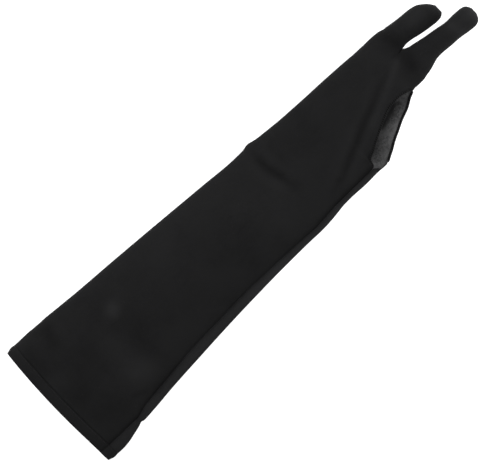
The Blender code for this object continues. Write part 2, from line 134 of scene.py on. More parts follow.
# Sleeve: along, taper, shift, roll, arch
FOREARM = [
    (0.000, 0.010, -0.0022, 1.06, 0.98),
    (0.062, 0.000, -0.0059, 1.07, 0.98),
    (0.094, 0.027, -0.0025, 0.98, 0.99),
    (0.125, 0.103, 0.0030, 0.80, 0.99),
    (0.150, 0.169, 0.0084, 0.62, 1.00),
    (0.166, 0.218, 0.0141, 0.44, 1.00),
    (0.174, 0.195, 0.0106, 0.60, 1.00),
    (0.219, 0.254, 0.0104, 0.85, 1.00),
    (0.312, 0.395, 0.0145, 0.86, 1.00),
    (0.437, 0.535, 0.0188, 1.00, 0.99),
    (0.562, 0.676, 0.0212, 0.93, 0.98),
    (0.687, 0.803, 0.0208, 0.89, 0.95),
    (0.812, 0.916, 0.0178, 0.74, 0.92),
    (0.937, 1.000, 0.0121, 0.58, 0.90),
    (0.975, 0.990, 0.0121, 0.54, 0.89),
]
HEEL = [
    (0.000, -0.200, 0.0176, 0.58, 0.88),
    (0.133, 0.143, 0.0138, 0.58, 0.88),
    (0.267, 0.429, 0.0146, 0.56, 0.88),
    (0.400, 0.683, 0.0163, 0.48, 0.88),
    (0.533, 0.810, 0.0146, 0.47, 0.88),
    (0.800, 0.840, 0.0104, 0.53, 0.88),
]
# Hand: outer_along, outer, top_along, top, under_along, under, mouth, turn, hem, arch
HAND = [
    (0.000, 0.517, 0.025, -0.419, 0.000, -0.486, 0.00, 1.00, 1.0, 0.88),
    (0.048, 0.516, 0.038, -0.363, 0.067, -0.489, 0.35, 0.70, 1.0, 0.88),
    (0.125, 0.515, 0.128, -0.307, 0.125, -0.490, 0.80, 0.45, 1.0, 0.88),
    (0.231, 0.513, 0.240, -0.243, 0.240, -0.443, 1.00, 0.14, 1.0, 0.88),
    (0.327, 0.510, 0.337, -0.195, 0.337, -0.385, 1.00, 0.08, 1.0, 0.88),
    (0.423, 0.507, 0.433, -0.147, 0.433, -0.336, 1.00, 0.08, 1.0, 0.88),
    (0.529, 0.502, 0.529, -0.114, 0.529, -0.287, 1.00, 0.08, 1.0, 0.86),
    (0.654, 0.496, 0.654, -0.106, 0.641, -0.242, 0.90, 0.10, 1.0, 0.84),
    (0.760, 0.495, 0.760, -0.125, 0.740, -0.183, 0.55, 0.22, 1.0, 0.82),
    (0.817, 0.496, 0.817, -0.140, 0.817, -0.143, 0.10, 0.44, 0.0, 0.81),
    (0.875, 0.495, 0.875, -0.146, 0.875, -0.146, 0.00, 0.50, 0.0, 0.80),
    (0.933, 0.490, 0.933, -0.145, 0.933, -0.145, 0.00, 0.50, 0.0, 0.79),
    (1.000, 0.472, 1.000, -0.131, 1.000, -0.131, 0.00, 0.50, 0.0, 0.78),
]
# Finger: along, middle, width
RING = [
    (0.026, 0.147, 1.417), (0.077, 0.134, 1.318), (0.141, 0.149, 1.218), (0.231, 0.164, 1.074),
    (0.333, 0.144, 0.989), (0.462, 0.101, 0.961), (0.628, 0.046, 0.897), (0.782, 0.015, 0.969),
    (0.872, 0.000, 0.979), (0.923, 0.000, 0.911), (0.962, 0.005, 0.750), (0.987, 0.010, 0.485),
    (1.000, 0.021, 0.286),
]
LITTLE = [
    (0.038, 1.360, 1.020), (0.113, 1.358, 0.976), (0.208, 1.339, 0.960), (0.396, 1.281, 1.000),
    (0.585, 1.237, 1.036), (0.736, 1.185, 1.000), (0.830, 1.118, 0.885), (0.906, 1.062, 0.740),
    (0.955, 1.024, 0.570), (1.000, 1.000, 0.350),
]
print(f"glove {X_TIP * 1000:.1f} mm long, cuff {CUFF_WIDTH * 1000:.1f} mm wide when flat")

# %% [markdown]
# ## Sections
#
# Between the rows of a table the widths run on smoothly. The curve used here never swings past its own
# rows, so a small step in the outline, such as the one where the rolled edge ends near the cuff, stays a
# small step.

# %% Smooth tables
def through(x, y, wanted):
    """Smooth values of the columns y at the places wanted, never past their neighbours."""
    x, y, wanted = np.asarray(x), np.asarray(y), np.asarray(wanted)
    gap = np.diff(x)[:, None]
    grade = np.diff(y, axis=0) / gap
    slope = np.zeros_like(y)
    slope[0], slope[-1] = grade[0], grade[-1]
    same = grade[:-1] * grade[1:] > 0
    weight_a, weight_b = 2 * gap[1:] + gap[:-1], gap[1:] + 2 * gap[:-1]
    with np.errstate(divide="ignore", invalid="ignore"):
        mean = (weight_a + weight_b) / (weight_a / grade[:-1] + weight_b / grade[1:])
    slope[1:-1] = np.where(same, mean, 0.0)
    index = np.clip(np.searchsorted(x, wanted, side="right") - 1, 0, len(x) - 2)
    span = gap[index]
    t = ((wanted - x[index])[:, None]) / span
    a, b = y[index], y[index + 1]
    return ((2 * t**3 - 3 * t**2 + 1) * a + (t**3 - 2 * t**2 + t) * span * slope[index]
            + (3 * t**2 - 2 * t**3) * b + (t**3 - t**2) * span * slope[index + 1])


def lerp(a, b, t):
    return a + (b - a) * t


def smooth(t):
    t = np.clip(t, 0.0, 1.0)
    return t * t * (3.0 - 2.0 * t)


def rise(u):
    """Arched height over a section, 0 at both edges and 1 in the middle."""
    power = np.where(u < 0.5, OUTER_CURVE, THUMB_CURVE)
    away = np.abs(1.0 - 2.0 * np.clip(u, 0.0, 1.0))
    return (1.0 - away**power) ** (1.0 / power)


def sleeve_controls(table, start, length, from_width, to_width):
    rows = []
    for along, taper, shift, roll, arch in table:
        x = start + along * length
        width, middle = lerp(from_width, to_width, taper), shift * CUFF_WIDTH
        outer, thumb, roll = middle + width / 2, middle - width / 2, roll * ROLL_WIDTH
        rows.append((x, outer, x, thumb + roll, x, thumb, roll, 1.0, 0.0, 1.0, arch))
    return rows


controls = sleeve_controls(FOREARM, 0.0, FOREARM_LENGTH, CUFF_WIDTH, WRIST_WIDTH)
controls += sleeve_controls(HEEL, X_WRIST, HEEL_LENGTH, WRIST_WIDTH, PALM_WIDTH)
for oa, o, ta, t, ua, u, mouth, turn, hem, arch in HAND:
    roll = HEEL[-1][3] * ROLL_WIDTH * max(0.0, 2 * turn - 1)
    place = [X_OPENING + oa * HAND_LENGTH, o * PALM_WIDTH, X_OPENING + ta * HAND_LENGTH, t * PALM_WIDTH,
             X_OPENING + ua * HAND_LENGTH, u * PALM_WIDTH]
    controls.append((*place, roll, turn, mouth, hem, arch))
controls = np.array(controls)


# What the columns of a section hold, beside the three edge points in columns 0 to 5
OUTER_Y, UNDER_Y, ROLL, TURN, MOUTH, HEM, ARCH = 1, 5, 6, 7, 8, 9, 10


def sections(start, end, step=ROW_STEP):
    """Sections of sleeve and hand from start to end, as a table with one row each."""
    count = max(2, int(round((end - start) / step)) + 1)
    return through(controls[:, 0], controls, np.linspace(start, end, count))


body = sections(HEM_LENGTH, X_CROTCH)
print(f"{len(controls)} table rows give {len(body)} sections")

# %% [markdown]
# ## Folds
#
# The cloth isn't taut. It keeps a crease across the wrist, a long diagonal one from the fork of the
# fingers down to the side seam, short ones at the root of each finger, and low swellings in the sleeve.
# A crease is narrow and sharp at its bottom, with the cloth bulging softly on both sides of it, because
# what sinks in one place rises beside it. A swelling is round. Each is drawn as a line of places on the
# cloth, and its height depends only on how far the cloth is from that line. A crease also fades out
# towards both ends, because cloth doesn't stop creasing at once. The glove lies still, so the folds are
# drawn where they are. Dropping the cloth by simulation would put them somewhere else.

# %% Fold table
# Depth is a share of the fold's depth, width a share of the fold's width, and the fades are the shares
# of the crease's run over which it dies out at its two ends. Places: share of the sleeve's length,
# share of the wrist's width towards the closed side.
CREASES = [
    (1.15, 0.80, 0.45, 0.35, [(1.215, 0.175), (1.180, 0.121), (1.135, 0.058), (1.088, -0.013),
                              (1.057, -0.058), (1.015, -0.129), (0.975, -0.191), (0.932, -0.262),
                              (0.890, -0.310), (0.850, -0.350)]),
    (1.05, 0.90, 0.28, 0.62, [(0.803, 0.470), (0.804, 0.392), (0.803, 0.256), (0.814, 0.111),
                              (0.823, -0.043), (0.829, -0.187)]),
    (0.30, 0.90, 0.40, 0.20, [(1.249, 0.420), (1.256, 0.300), (1.252, 0.215)]),
    (0.25, 0.90, 0.20, 0.50, [(1.240, 0.100), (1.252, 0.020), (1.248, -0.070)]),
    (0.15, 0.80, 0.40, 0.40, [(1.400, -0.050), (1.405, 0.080)]),
    (0.12, 0.80, 0.40, 0.40, [(1.372, 0.250), (1.376, 0.370)]),
    (0.25, 1.20, 0.20, 0.60, [(0.127, 0.590), (0.120, 0.490), (0.126, 0.400)]),
    (0.40, 0.60, 0.35, 0.35, [(0.150, -0.385), (0.178, -0.420), (0.210, -0.465)]),
]
SWELLINGS = [
    (0.50, 1.7, [(1.120, -0.110), (1.020, -0.200), (0.930, -0.300)]),
    (0.30, 1.9, [(1.130, 0.130), (1.040, 0.010), (0.960, -0.090)]),
    (0.45, 1.8, [(0.780, 0.430), (0.787, 0.230), (0.790, 0.050)]),
    (0.40, 2.0, [(0.836, 0.400), (0.850, 0.050)]),
    (0.60, 3.4, [(0.190, -0.260), (0.225, -0.200)]),
    (0.45, 2.8, [(0.270, 0.250), (0.290, 0.250)]),
    (0.45, 2.0, [(0.640, 0.360), (0.730, 0.370)]),
    (0.35, 4.0, [(0.420, 0.100), (0.560, 0.020)]),
    (-0.30, 2.6, [(0.350, -0.200), (0.450, -0.260)]),
    (-0.30, 3.0, [(0.090, 0.200), (0.160, 0.050)]),
]
print(f"{len(CREASES)} creases and {len(SWELLINGS)} swellings, up to {FOLD_DEPTH * 1000:.1f} mm")

# %% Folds as heights
def line_distance(x, y, places):
    """How far each place is from a line drawn through the given places, and how far along it."""
    nearest, along_line = np.full_like(x, 1.0), np.zeros_like(x)
    ends = np.array([(along * X_OPENING, across * WRIST_WIDTH) for along, across in places])
    lengths = np.hypot(*(ends[1:] - ends[:-1]).T)
    gone = np.r_[0.0, np.cumsum(lengths)] / lengths.sum()
    for (ax, ay), (bx, by), length, begin, finish in zip(ends, ends[1:], lengths, gone, gone[1:]):
        share = np.clip(((x - ax) * (bx - ax) + (y - ay) * (by - ay)) / length**2, 0.0, 1.0)
        away = np.hypot(x - lerp(ax, bx, share), y - lerp(ay, by, share))
        along_line = np.where(away < nearest, lerp(begin, finish, share), along_line)
        nearest = np.minimum(nearest, away)
    return nearest, along_line


def crease(x, y, profile):
    """Sum over all creases of a profile across them, which dies out at their ends."""
    total = np.zeros_like(x)
    for deep, wide, fade_in, fade_out, places in CREASES:
        away, along_line = line_distance(x, y, places)
        held = smooth(along_line / fade_in) * smooth((1.0 - along_line) / fade_out)
        total += deep * held * profile(away / (wide * FOLD_WIDTH))
    return total


def crease_profile(away):
    """Height across a crease: a sharp dip with a soft bulge on both sides."""
    return 0.45 * np.exp(-(away * 0.5) ** 2) - 1.45 * np.exp(-away ** 1.4)


def fold_height(x, y):
    """Height that the folds add at each place."""
    total = FOLD_DEPTH * crease(x, y, crease_profile)
    for high, wide, places in SWELLINGS:
        away = line_distance(x, y, places)[0] / (wide * FOLD_WIDTH)
        total += high * FOLD_DEPTH * np.exp(-away * away)
    return total


def ripple(x, y, size, seed):
    """Slow unevenness of limp cloth, between -1 and 1."""
    flat = [noise.noise(Vector((a / size, b / size, seed))) for a, b in zip(x.ravel(), y.ravel())]
    return np.array(flat).reshape(x.shape)


print(f"the bottom of a full crease lies {-FOLD_DEPTH * crease_profile(0.0) * 1000:.1f} mm down")

# %% [markdown]
# ## Painted shade and highlight
#
# Dark knit doesn't look evenly dark. Each point of the cloth gets one number for how dark its knit is
# painted, 0.5 where the cloth is plain: painted shade deep in a crease and in the groove of the seam, and
# painted highlight on the ridges beside a crease and along the rolled edge. Broad changes of tone are
# painted as short runs with a soft reach.

# %% Tables of painted tone
# Runs where the face is painted darker or paler, some as painted shade in creases and painted highlight
# beside them: amount, reach in metres, from and to
FACE_TONE_RUNS = [
    (0.26, 0.0058, (0.274, 0.277), (0.280, 0.290)), (0.20, 0.0100, (0.230, -0.287), (0.215, -0.270)),
    (0.08, 0.0090, (0.053, 0.168), (0.060, 0.140)), (0.08, 0.0120, (0.197, 0.068), (0.220, -0.060)),
    (-0.18, 0.0060, (0.118, 0.560), (0.110, 0.440)), (-0.13, 0.0070, (0.043, 0.507), (0.036, 0.311)),
    (-0.10, 0.0120, (0.274, -0.126), (0.290, 0.060)), (-0.12, 0.0160, (0.090, 0.022), (0.140, 0.120)),
    (-0.08, 0.0080, (0.127, -0.410), (0.070, -0.330)), (-0.05, 0.0180, (0.560, 0.150), (0.600, -0.100)),
    (0.05, 0.0160, (0.450, 0.330), (0.640, 0.370)), (0.05, 0.0140, (0.700, 0.150), (0.740, -0.150)),
    (0.08, 0.0090, (0.781, 0.070), (0.776, 0.020)), (-0.06, 0.0160, (0.900, 0.300), (0.980, 0.150)),
    (0.12, 0.0030, (1.228, 0.142), (1.169, 0.044)),
    (0.07, 0.0035, (1.150, 0.010), (1.080, -0.100)), (-0.20, 0.0070, (1.255, 0.380), (1.262, 0.300)),
    (-0.24, 0.0060, (1.256, 0.110), (1.248, 0.030)), (0.12, 0.0070, (1.360, 0.330), (1.330, 0.330)),
    (-0.18, 0.0030, (1.022, -0.305), (1.006, -0.322)), (0.20, 0.0050, (1.395, 0.040), (1.400, -0.060)),
    (0.26, 0.0080, (1.450, 0.000), (1.475, -0.060)),
]
# The same for the under panel and its pale inside, seen at the opening: mostly painted shadow along and
# under the top panel's edge, and one paler painted patch
UNDER_SHADE_RUNS = [
    (-0.20, 0.0050, (1.177, -0.143), (1.150, -0.120)), (-0.30, 0.0014, (1.163, -0.137), (1.160, -0.131)),
    (-0.24, 0.0042, (1.130, -0.140), (1.030, -0.290)), (0.10, 0.0035, (1.135, -0.262), (1.085, -0.315)),
    (-0.08, 0.0080, (1.050, -0.350), (1.020, -0.370)), (-0.28, 0.0024, (1.152, -0.110), (1.090, -0.185)),
]
print(f"{len(FACE_TONE_RUNS)} worn runs on the face, {len(UNDER_SHADE_RUNS)} on the under panel")

# %% Painted tone of a line of points
# Painted tone across a crease: darker at its bottom as painted shade, paler on the ridges beside it as
# painted highlight
def crease_shade_profile(away):
    return 0.18 * np.exp(-(away * 0.5) ** 2) - 0.42 * np.exp(-away**1.5)


def wear_and_shade(line, runs, creased):
    """How dark the knit is painted: 0.5 when plain, less in a crease as painted shade, more beside it as
    painted highlight.
    """
    x, y = line[:, 0], line[:, 1]
    total = np.full_like(x, 0.5)
    # Painted shade at the bottom of each crease and painted highlight on the ridges beside it
    if creased:
        total += crease(x, y, crease_shade_profile)
    for amount, reach, start, end in runs:
        away = line_distance(x, y, [start, end])[0] / reach
        total += amount * np.exp(-away * away)
    return total


def top_wear_and_shade(line):
    """Painted tone of the top panel, with painted shade in the groove along the side seam."""
    along = line[-1, 0] / X_OPENING
    groove = np.hypot(*(line - line[-1])[:, :2].T) / TOP_GROOVE
    # Painted shade in the seam's groove: deeper near the cuff and towards the hand, none past the opening
    deep = 0.04 + 0.16 * smooth((0.36 - along) / 0.10) + 0.30 * smooth((along - 0.66) / 0.25)
    beside = 1.0 - smooth((along - 1.0) / 0.03)
    return wear_and_shade(line, FACE_TONE_RUNS, True) - deep * beside * np.exp(-groove * groove)


def under_light_and_shade(line):
    """Painted tone of the under panel: painted highlight along the rolled edge, painted shade right beside
    the seam.
    """
    along = line[-1, 0] / X_OPENING
    gone = np.linalg.norm(line - line[-1], axis=1)
    # Painted highlight along the rolled edge, stronger towards the hand, then painted shade right beside
    # the seam
    pale = 0.12 * smooth(along / 0.20) + 0.16 * smooth((along - 0.50) / 0.15)
    strip = pale * np.exp(-(((gone - PALE_PLACE) / PALE_REACH) ** 2))
    strip = strip - 0.10 * np.exp(-((gone / UNDER_GROOVE) ** 2))
    beside = 1.0 - smooth((along - 1.0) / 0.03)
    return wear_and_shade(line, UNDER_SHADE_RUNS, False) + beside * strip


print(f"wear at the bottom of a full crease: {0.5 + crease_shade_profile(0.0):.2f}")

# %% [markdown]
# ## Cloth as a sheet
#
# A panel is a grid of points: one line of points for each section. The grid is thickened inwards, and its
# inner side takes a second material, because the inside of the knit is paler than its face. Every point
# also keeps its place on the flat cloth, so that the knit follows the cloth round a roll.

# %% Sheets
def placed(start, end, q, z):
    """Points at distances q along a section, bowed at the cuff."""
    run = end - start
    length = np.hypot(*run)
    at = start[None, :] + (run / length)[None, :] * q[:, None]
    across = 2.0 * q / length - 1.0
    bow = CUFF_BOW * across**2 * (1.0 - smooth(start[0] / BOW_RUN))
    return np.stack([at[:, 0] + bow, at[:, 1], z * np.ones_like(q)], axis=1)


top_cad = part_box("top_panel")[1]
hem_end = through(controls[:, 0], controls, [HEM_LENGTH])[0]
SHIFT = np.array([top_cad[0] - X_TIP, top_cad[1] - hem_end[OUTER_Y], 0.0])


def uv_layer(bm, spots):
    layer = bm.loops.layers.uv.new("cloth")
    for face in bm.faces:
        for loop in face.loops:
            loop[layer].uv = spots[loop.vert.index]


def sheet(name, patches, wall, flip, materials, wrap=False, shade_and_wear=None):
    """One piece of cloth from grids of points, thickened inwards."""
    bm = bmesh.new()
    spots, worn_and_shaded = [], []
    for grid in patches:
        verts = [[bm.verts.new(p + SHIFT) for p in row] for row in grid]
        for row in grid:
            steps = np.r_[0.0, np.cumsum(np.linalg.norm(np.diff(row, axis=0), axis=1))]
            spots += [(s, p[0]) for s, p in zip(steps, row)]
            worn_and_shaded += list(shade_and_wear(row)) if shade_and_wear else [0.5] * len(row)
        count = len(verts[0])
        for low, high in zip(verts, verts[1:]):
            for col in range(count if wrap else count - 1):
                side = (col + 1) % count
                loop = [low[col], low[side], high[side], high[col]]
                bm.faces.new(loop[::-1] if flip else loop)
    bm.verts.index_update()
    uv_layer(bm, spots)
    # Each point keeps its value of painted shade and highlight, which the knit's colour follows
    shade_layer = bm.verts.layers.float.new("wear_and_shade")
    for vert, amount in zip(bm.verts, worn_and_shaded):
        vert[shade_layer] = min(1.0, max(0.0, amount))
    bmesh.ops.remove_doubles(bm, verts=bm.verts, dist=MERGE)
    for face in bm.faces:
        face.smooth = True
    mesh = bpy.data.meshes.new(name)
    bm.to_mesh(mesh)
    bm.free()
    piece = bpy.data.objects.new(name, mesh)
    SCENE.collection.objects.link(piece)
    for material in materials:
        mesh.materials.append(material)
    solid = piece.modifiers.new("cloth", "SOLIDIFY")
    solid.thickness = wall
    solid.offset = -1.0
    solid.material_offset = len(materials) - 1
    return piece


def sheet_area(patches):
    """Area of the grids' own surface."""
    total = 0.0
    for grid in patches:
        g = np.asarray(grid)
        a, b = g[1:, :-1] - g[:-1, :-1], g[:-1, 1:] - g[:-1, :-1]
        total += np.linalg.norm(np.cross(a, b), axis=2).sum()
    return total


# %% [markdown]
# ## Shader kit
#
# A socket that can be added, multiplied and compared keeps a material readable. Constant values stay on
# the shader's own inputs, and only what varies over the cloth is linked.

# %% Shader kit
class Wire:
    """One output in a node tree, with arithmetic."""

    def __init__(self, kit, socket):
        self.kit, self.socket = kit, socket

    def _math(self, how, *others):
        return self.kit.node("ShaderNodeMath", {"operation": how}, dict(enumerate((self, *others))))

    def __add__(self, other): return self._math("ADD", other)
    def __sub__(self, other): return self._math("SUBTRACT", other)
    def __mul__(self, other): return self._math("MULTIPLY", other)
    def __truediv__(self, other): return self._math("DIVIDE", other)
    def __abs__(self): return self._math("ABSOLUTE")
    def frac(self): return self._math("FRACT")
    def wave(self): return self._math("SINE")
    def clamp(self): return self.kit.node("ShaderNodeClamp", {}, {0: self})

    def above(self, low, high):
        ends = {0: self, 1: low, 2: high}
        return self.kit.node("ShaderNodeMapRange", {"interpolation_type": "SMOOTHSTEP"}, ends)


class Kit:
    """A material's node tree."""

    def __init__(self, name):
        self.material = bpy.data.materials.new(name)
        self.material.use_nodes = True
        self.tree = self.material.node_tree
        self.shader = self.tree.nodes["Principled BSDF"]

    def node(self, kind, settings=None, inputs=None, output=0):
        made = self.tree.nodes.new(kind)
        for key, value in (settings or {}).items():
            setattr(made, key, value)
        for key, value in (inputs or {}).items():
            if isinstance(value, Wire):
                self.tree.links.new(value.socket, made.inputs[key])
            else:
                made.inputs[key].default_value = value
        return Wire(self, made.outputs[output])

    def mix(self, a, b, factor):
        """Colour between a and b."""
        ends = {6: a, 7: b, 0: factor}
        return self.node("ShaderNodeMix", {"data_type": "RGBA"}, ends, output=2)

    def noise(self, where, scale, detail=3.0, rough=0.5):
        ins = {"Vector": where, "Scale": scale, "Detail": detail, "Roughness": rough}
        return self.node("ShaderNodeTexNoise", {}, ins)

    def set(self, **values):
        for key, value in values.items():
            self.shader.inputs[key.replace("_", " ")].default_value = value

    def link(self, name, wire):
        self.tree.links.new(wire.socket, self.shader.inputs[name])

    def bump(self, height, distance, strength, under=None):
        ins = {"Height": height, "Distance": distance, "Strength": strength}
        if under is not None:
            ins["Normal"] = under
        return self.node("ShaderNodeBump", {}, ins)


# %% [markdown]
# ## Knit
#
# A stretch knit's face is a grid of small V-shaped loops, in columns along the glove. Its inside shows the
# back of the loops, as rows of small arcs, and scatters more light. Elastane gives the face a slight
# sheen. Use rubs the cloth: it pales a little in patches and carries a few specks of fluff. The colour also
# follows the painted tone that each point keeps: painted shade below 0.5, painted highlight above it.

# %% Materials
def knit(name, dark, pale, wale, course, sheen, rough, mottle, back=False):
    """Knit whose columns are wale apart and whose rows are course apart."""
    kit = Kit(name)
    spot = kit.node("ShaderNodeUVMap", {"uv_map": "cloth"})
    across = kit.node("ShaderNodeSeparateXYZ", {}, {0: spot}, output=0)
    along = kit.node("ShaderNodeSeparateXYZ", {}, {0: spot}, output=1)
    solid = kit.node("ShaderNodeTexCoord", {}, {}, output=3)
    column = across / wale
    lean = abs(column.frac() - 0.5)
    row = along / course + lean * (0.7 if back else 1.6)
    loops = (row * (2 * pi)).wave() * 0.5 + 0.5
    rib = lean * 2.0
    height = loops * 0.6 + rib * 0.4
    cloud = kit.noise(solid, 38.0, 4.0, 0.6)
    patch = kit.noise(solid, 160.0, 3.0, 0.6)
    fibre = kit.noise(solid, 2600.0, 2.0, 0.7)
    # The value of painted shade and highlight that each point keeps
    worn_and_shaded = kit.node("ShaderNodeAttribute", {"attribute_name": "wear_and_shade"}, {}, output=2)
    fray = kit.noise(solid, 620.0, 3.0, 0.7)
    frayed = fray * 1.1 if back else fray * (worn_and_shaded * 1.6 - 0.5).clamp()
    shade = cloud * mottle + patch * (mottle * 0.6) + fibre * 0.25 + height * 0.15 + frayed
    shade = shade.above(1.15, 1.75) if back else shade.above(0.55, 1.15)
    fluff = kit.noise(solid, 900.0, 1.0, 0.5).above(0.70, 0.80)
    colour = kit.mix((*dark, 1.0), (*pale, 1.0), shade)
    # Painted shade below 0.5, down to a quarter of the dark colour, and painted highlight above it
    colour = kit.mix((*[c * 0.25 for c in dark], 1.0), colour, (worn_and_shaded * 2.0).clamp())
    colour = kit.mix(colour, (*[c * 2.4 for c in pale], 1.0), (worn_and_shaded * 2.0 - 1.0).clamp())
    colour = kit.mix(colour, (*[c * 2.2 for c in pale], 1.0), fluff * 0.5)
    kit.link("Base Color", colour)
    kit.link("Roughness", (patch * 0.12 + (rough - 0.06)).clamp())
    soft = kit.bump(patch, 0.0006, 0.25)
    kit.link("Normal", kit.bump(height + fibre * 0.4, 0.00012, 0.45, under=soft))
    kit.set(Sheen_Weight=sheen, Sheen_Roughness=0.45, Specular_IOR_Level=0.18)
    return kit.material


def thread(name, dark, pale, sheen):
    """Twisted sewing thread."""
    kit = Kit(name)
    solid = kit.node("ShaderNodeTexCoord", {}, {}, output=3)
    twist = kit.noise(solid, 3200.0, 2.0, 0.6)
    kit.link("Base Color", kit.mix((*dark, 1.0), (*pale, 1.0), twist))
    kit.link("Normal", kit.bump(twist, 0.00005, 0.5))
    kit.set(Roughness=0.62, Sheen_Weight=sheen, Specular_IOR_Level=0.3)
    return kit.material


FACE = knit("knit_face", (0.0042, 0.0042, 0.0046), (0.0088, 0.0088, 0.0092),
            WALE, COURSE, 0.02, 0.85, 0.8)
# The under panel's face is the same knit, painted a little paler: painted light on its rolled strip and
# round edges
UNDER_FACE = knit("knit_under_face", (0.0054, 0.0054, 0.0058), (0.0112, 0.0112, 0.0117),
                  WALE, COURSE, 0.02, 0.86, 0.8)
INSIDE = knit("knit_inside", (0.026, 0.026, 0.0265), (0.085, 0.085, 0.086),
              WALE, COURSE, 0.03, 0.9, 1.0, back=True)
# The cuff hem's knit is the same knit, painted a little darker: painted shade on the cuff's end
HEM_CLOTH = knit("knit_hem", (0.0040, 0.0040, 0.0043), (0.0080, 0.0080, 0.0084),
                 WALE, COURSE, 0.02, 0.84, 0.8)
BEAD_CLOTH = knit("knit_rolled_hem", (0.0045, 0.0045, 0.0050), (0.0085, 0.0085, 0.0090),
                  0.0005, 0.0004, 0.01, 0.82, 0.7)
THREAD = thread("sewing_thread", (0.0048, 0.0048, 0.0052), (0.0100, 0.0100, 0.0104), 0.01)
HEM_THREAD = thread("sewing_thread_hem", (0.0034, 0.0034, 0.0037), (0.0070, 0.0070, 0.0074), 0.0)
print("materials:", [m.name for m in bpy.data.materials if m.name.startswith(("knit", "sewing"))])

# %% [markdown]
# ## Hem lines of the opening
#
# Both panels end at the opening in a narrow rolled hem. The panel's own edge runs into the middle of its
# roll.

# %% Edge lines
def set_back(points, hem, distance):
    """Edge line moved into the cloth where it carries a hem."""
    ahead = np.gradient(points, axis=0)
    inward = np.stack([-ahead[:, 1], ahead[:, 0]], axis=1)
    inward /= np.linalg.norm(inward, axis=1)[:, None]
    return points + inward * distance * np.clip(hem, 0, 1)[:, None]


def edges(rows, distance):
    """Outer, top and under edge of the given sections, hems set back."""
    hemmed = np.where(rows[:, 0] >= X_OPENING - 1e-6, rows[:, HEM], 0.0)
    flat = smooth((UPRIGHT_TURN - rows[:, TURN]) / 0.3) * hemmed
    return rows[:, 0:2], set_back(rows[:, 2:4], hemmed, distance), set_back(rows[:, 4:6], flat, distance)


# %% [markdown]
# ## Top panel
#
# This is the face seen from above. It would be cut from one piece of knit, sewn to the under panel all
# round except at the cuff and the opening. Here it is lofted through the sections, arched over the slack
# inside, and pressed down to the seam at its edges and at the fork of the fingers.

# %% Top panel
def eased(count):
    return 0.5 - 0.5 * np.cos(np.linspace(0.0, pi, count))


PALM_COLUMNS = eased(61)
LOBE_A, LOBE_B = eased(27), eased(35)


def top_height(share, fork, low_z, mouth, arch, crotch):
    base = lerp(EDGE_RADIUS, lerp(low_z, MOUTH_HEIGHT, mouth), smooth(share))
    palm = lerp(base, arch, rise(share))
    lobe = np.where(share < fork, rise(share / fork), rise((share - fork) / (1.0 - fork)))
    return lerp(palm, lerp(EDGE_RADIUS, arch, lobe), crotch)


def top_line(row, outer, top):
    run = np.hypot(*(top - outer))
    crotch = 1.0 - smooth((X_CROTCH - outer[0]) / CROTCH_RUN)
    fork = np.hypot(outer[0] - X_CROTCH, outer[1] - Y_CROTCH) / run
    fork = lerp(CROTCH_COLUMN, fork, crotch)
    lobes = np.r_[fork * LOBE_A, lerp(fork, 1.0, LOBE_B[1:])]
    share = lerp(PALM_COLUMNS, lobes, crotch)
    groove = lerp(EDGE_RADIUS, 2.0 * ROLL_RADIUS - GROOVE_DIP, np.clip(2 * row[TURN] - 1, 0, 1))
    z = top_height(share, fork, groove, np.clip(row[MOUTH], 0, 1), row[ARCH] * ARCH_HEIGHT, crotch)
    return placed(outer, top, share * run, z), rise(share)


def fold_in(line, held):
    """Folds and slow unevenness added to a line of points, none at the seams."""
    x, y = line[:, 0], line[:, 1]
    uneven = RIPPLE_HEIGHT * ripple(x, y, RIPPLE_SIZE, RIPPLE_SEED)
    line[:, 2] += (fold_height(x, y) + uneven) * held
    return line


def finger_rows(table, length, width):
    along = np.array(table)
    shares = np.r_[np.arange(along[0, 0], FINGER_TIP, FINGER_STEP / length), np.linspace(FINGER_TIP, 1, 9)]
    fine = through(along[:, 0], along, shares)
    rows = []
    for share, middle, wide in fine:
        x = X_CROTCH + share * length
        outer, inner = (middle + wide / 2) * width, (middle - wide / 2) * width
        rows.append((np.array([x, outer]), np.array([x, inner])))
    return rows


def tip(x, tip_x, run):
    return np.sqrt(max(0.0, 1.0 - (1.0 - min(1.0, max(0.0, (tip_x - x) / run))) ** 2))


def top_finger(first, table, length, width, arch, columns):
    rows = [first]
    for outer, inner in finger_rows(table, length, width):
        run = np.hypot(*(inner - outer))
        height = lerp(EDGE_RADIUS, arch * ARCH_HEIGHT, tip(outer[0], X_CROTCH + length, TIP_ROUND))
        line = placed(outer, inner, columns * run, lerp(EDGE_RADIUS, height, rise(columns)))
        rows.append(fold_in(line, rise(columns)))
    return rows


outer_edge, top_edge, under_edge = edges(body, BEAD / 2)
top_body = []
for row, outer, top in zip(body, outer_edge, top_edge):
    line, held = top_line(row, outer, top)
    top_body.append(fold_in(line, held))
split = len(LOBE_A) - 1
top_patches = [
    top_body,
    top_finger(top_body[-1][:split + 1], LITTLE, LITTLE_LENGTH, LITTLE_WIDTH, LITTLE_ARCH, LOBE_A),
    top_finger(top_body[-1][split:], RING, RING_LENGTH, RING_WIDTH, RING_ARCH, LOBE_B),
]
top_cloth = sheet("top_cloth", top_patches, CLOTH, False, [FACE, INSIDE], shade_and_wear=top_wear_and_shade)
top_area = sheet_area(top_patches)
print(f"top panel: {top_area * 1e4:.0f} square cm of cloth")

# %% [markdown]
# ## Under panel
#
# It lies flat on the table, turns up round both edges, and on the thumb side comes right over on top as a
# narrow strip, up to the side seam. At the opening it stays flat, and its pale inside shows.

# %% Under panel
ARC = np.linspace(pi / 2, 0.0, 9)
FLAT = np.linspace(0.0, 1.0, 16)[1:-1]
TAIL = np.r_[np.linspace(0.0, 0.5, 14)[:-1], np.linspace(0.5, 1.0, 11)]


